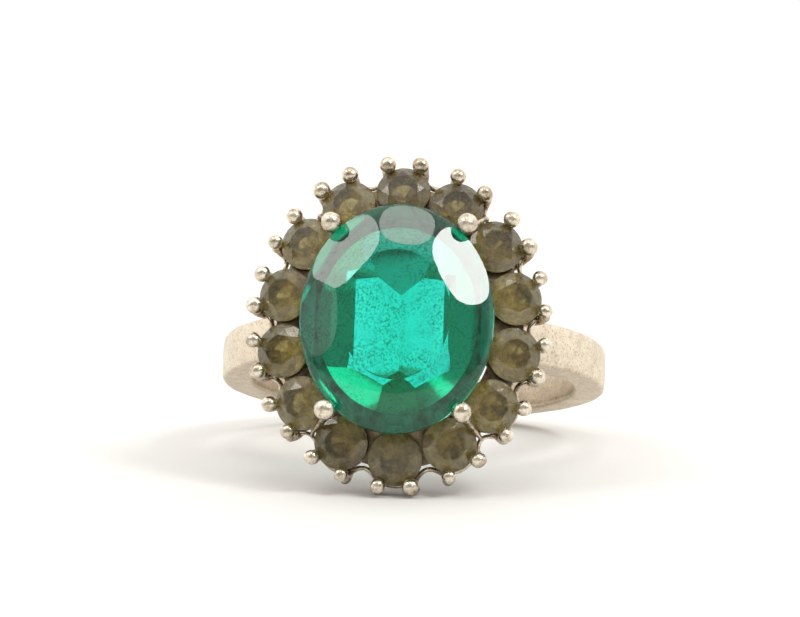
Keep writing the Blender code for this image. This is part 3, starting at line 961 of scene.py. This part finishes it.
def build_shank(material):
    """The open band, with painted shade on its sides, and darker still on its inside."""
    bm = bmesh.new()
    rings = []
    sweep = math.pi + 2.0 * SHANK_END_ANGLE
    for step in range(SHANK_STEPS + 1):
        angle = SHANK_END_ANGLE - sweep * step / SHANK_STEPS
        rings.append(shank_section(angle))
    loft(bm, rings, False)
    shaded = bm.faces.layers.float.new("shaded")
    bmesh.ops.recalc_face_normals(bm, faces=bm.faces)
    # Painted shade darkens the sides; the inside is darkened more, and the outer face stays bright.
    for face in bm.faces:
        centre = face.calc_center_median()
        centre.y = 0.0
        outward = face.normal.dot(centre.normalized())
        face[shaded] = 0.50 if outward < -0.5 else 0.32 * (1.0 - max(outward, 0.0))
    finish_piece("shank_band", bm, material, "shank", 40.0)


def build_lower_ring(material):
    """The oval wire under the head."""
    points = []
    for number in range(LOWER_STEPS):
        angle = 2.0 * math.pi * number / LOWER_STEPS
        points.append(oval_point(LOWER_HALF_ACROSS, LOWER_HALF_ALONG, angle, 0.0, LOWER_OUT))
    bm = bmesh.new()
    tube(bm, points, [LOWER_WIRE_RADIUS] * len(points), LOWER_SIDES, True, LOWER_LUMPS, 2.0)
    node = "lower_gallery_ring"
    finish_piece("lower_ring_wire", bm, material, node, METAL_SHARP_ANGLE)


def dress_node(name, material):
    """A CAD piece whose shape is right stays and gets its finished material."""
    node = frame["nodes"][name]
    node.data.materials.clear()
    node.data.materials.append(material)


def build_stones(halo, centre_middle, half_across, half_along):
    """The centre stone and the halo stones, each halo stone turned and tinted by chance."""
    green = centre_glass("green_glass")
    smoky = halo_glass("smoky_glass")
    bm = centre_stone_shape(half_across, half_along)
    wear_edges(bm, CENTRE_WEAR)
    mark_facets(bm, half_across, half_along, 0.0, 0.0)
    bmesh.ops.translate(bm, vec=centre_middle, verts=bm.verts)
    finish_piece("centre_gem", bm, green, "centre_stone", CENTRE_SHARP_ANGLE)
    generator = random.Random(5)
    for number, (middle, table, radius) in enumerate(halo, start=1):
        outward, sideways = halo_directions(table)
        turn = generator.uniform(0.0, math.pi / 4.0)
        first = outward * math.cos(turn) + sideways * math.sin(turn)
        second = table.cross(first)
        bm = round_stone_shape(radius, generator)
        tint = generator.uniform(0.0, 0.22) + 0.35 * (abs(middle.y) / HALO_HALF_ALONG) ** 12
        mark_facets(bm, radius, radius, generator.uniform(0.25, 0.70), tint)
        wear_edges(bm, HALO_WEAR)
        place_shape(bm, middle, first, second, table)
        node = f"accent_stone_{number:02d}"
        name = f"halo_gem_{number:02d}"
        finish_piece(name, bm, smoky, node, HALO_SHARP_ANGLE)


# ---------------------------------------------------------------------------------------------
# Studio
# ---------------------------------------------------------------------------------------------


def build_floor():
    """A sheet of plain pale paper."""
    shader = Shader("floor_paper")
    tint = shader.ramp(
        shader.noise(0.01, 2.0),
        (0.3, (0.735, 0.725, 0.71)),
        (0.7, (0.75, 0.74, 0.725)),
    )
    shader.link(tint, shader.surface.inputs["Base Color"])
    set_values(shader, Roughness=0.9)
    bm = bmesh.new()
    bmesh.ops.create_grid(bm, x_segments=8, y_segments=8, size=FLOOR_HALF_SIZE)
    mesh = bpy.data.meshes.new("floor")
    bm.to_mesh(mesh)
    bm.free()
    mesh.materials.append(shader.material)
    floor = bpy.data.objects.new("floor", mesh)
    bpy.context.scene.collection.objects.link(floor)


def add_softbox(name, direction, side, radiance, colour):
    """A square light that faces the ring from a direction."""
    light = bpy.data.lights.new(name, "AREA")
    light.shape = "SQUARE"
    light.size = side
    light.energy = radiance * math.pi * side * side
    light.color = colour
    lamp = bpy.data.objects.new(name, light)
    place = Vector(direction).normalized() * SOFTBOX_DISTANCE
    lamp.location = place
    lamp.rotation_euler = place.to_track_quat("Z", "Y").to_euler()
    bpy.context.scene.collection.objects.link(lamp)


def build_light():
    """A white tent that is darker on the viewer's side, a key light and three softer ones."""
    world = bpy.data.worlds.new("tent")
    bpy.context.scene.world = world
    world.use_nodes = True
    tree = world.node_tree
    background = tree.nodes["Background"]
    coordinates = tree.nodes.new("ShaderNodeTexCoord")
    lean = tree.nodes.new("ShaderNodeVectorMath")
    lean.operation = "DOT_PRODUCT"
    lean.inputs[1].default_value = TENT_TOWARDS
    tree.links.new(coordinates.outputs["Generated"], lean.inputs[0])
    shade = tree.nodes.new("ShaderNodeValToRGB")
    near, far = shade.color_ramp.elements
    near.position = 0.0
    near.color = (*TENT_NEAR, 1.0)
    far.position = TENT_FULL_AT
    far.color = (*TENT_FAR, 1.0)
    push = tree.nodes.new("ShaderNodeMath")
    push.operation = "ADD"
    push.inputs[1].default_value = TENT_SHIFT
    tree.links.new(lean.outputs["Value"], push.inputs[0])
    tree.links.new(push.outputs[0], shade.inputs["Fac"])
    tree.links.new(shade.outputs["Color"], background.inputs["Color"])
    background.inputs["Strength"].default_value = TENT_STRENGTH
    add_softbox("key_right", (0.585, -0.32, 0.745), 0.37, 18.0, (1.0, 0.99, 0.97))
    add_softbox("overhead", (0.0, -0.22, 0.975), 0.34, 5.0, WARM_WHITE)
    add_softbox("left_high", (-0.585, -0.237, 0.775), 0.42, 5.6, WARM_WHITE)
    add_softbox("left_wall", (-0.845, -0.403, 0.352), 0.40, 0.9, WARM_WHITE)


def build_camera(face_middle):
    """The photograph's viewpoint: a long lens that looks down on the face of the ring."""
    turn_sin, turn_cos = math.sin(CAMERA_TURN), math.cos(CAMERA_TURN)
    drop_sin, drop_cos = math.sin(CAMERA_DROP), math.cos(CAMERA_DROP)
    back = ACROSS * (turn_sin * drop_cos) - ALONG * drop_sin + OUT * (turn_cos * drop_cos)
    right = ALONG.cross(back).normalized()
    up = back.cross(right)
    rolled_right = right * math.cos(CAMERA_ROLL) + up * math.sin(CAMERA_ROLL)
    rolled_up = up * math.cos(CAMERA_ROLL) - right * math.sin(CAMERA_ROLL)
    target = TO_WORLD @ face_middle
    aim = rolled_right * CAMERA_AIM_ACROSS + rolled_up * CAMERA_AIM_UP
    place = target + (back * CAMERA_DISTANCE + aim) * MM
    data = bpy.data.cameras.new("camera")
    data.lens = CAMERA_LENS
    data.sensor_width = CAMERA_SENSOR
    data.clip_start, data.clip_end = CAMERA_CLIP
    camera = bpy.data.objects.new("camera", data)
    axes = Matrix((rolled_right, rolled_up, back)).transposed().to_4x4()
    camera.matrix_world = Matrix.Translation(place) @ axes
    bpy.context.scene.collection.objects.link(camera)
    bpy.context.scene.camera = camera


def main():
    """Builds the ring, piece by piece, and the studio round it."""
    bpy.context.scene.view_settings.view_transform = "Standard"
    polished = silver("polished_silver", (0.84, 0.77, 0.64), (0.36, 0.29, 0.20), 0.16, 0.36, 0.010)
    satin = silver("satin_silver", (0.80, 0.71, 0.565), (0.67, 0.58, 0.455), 0.30, 0.46, 0.008)
    # A dark copy of the silver for the lower wire, the rail and the seat under the stones: tarnish
    # with painted shade.
    inner = silver(
        "tarnish_and_shade_silver", (0.22, 0.175, 0.11), (0.07, 0.05, 0.03), 0.28, 0.48, 0.012
    )

    _, centre_points = node_mesh("centre_stone")
    half_across = max(point.x for point in centre_points)
    half_along = max(point.y for point in centre_points)
    rim = [point.z for point in centre_points if point.x > 0.999 * half_across]
    centre_middle = Vector((0.0, 0.0, (min(rim) + max(rim)) / 2.0))
    halo = [stone_frame(f"accent_stone_{number:02d}") for number in range(1, 15)]

    build_shank(satin)
    build_lower_ring(inner)
    dress_node("gallery_rail", inner)
    dress_node("centre_seat", inner)
    build_centre_claws(centre_middle, halo, polished)
    build_halo_claws(halo, polished)
    build_stones(halo, centre_middle, half_across, half_along)
    build_floor()
    build_light()
    build_camera(centre_middle)


main()
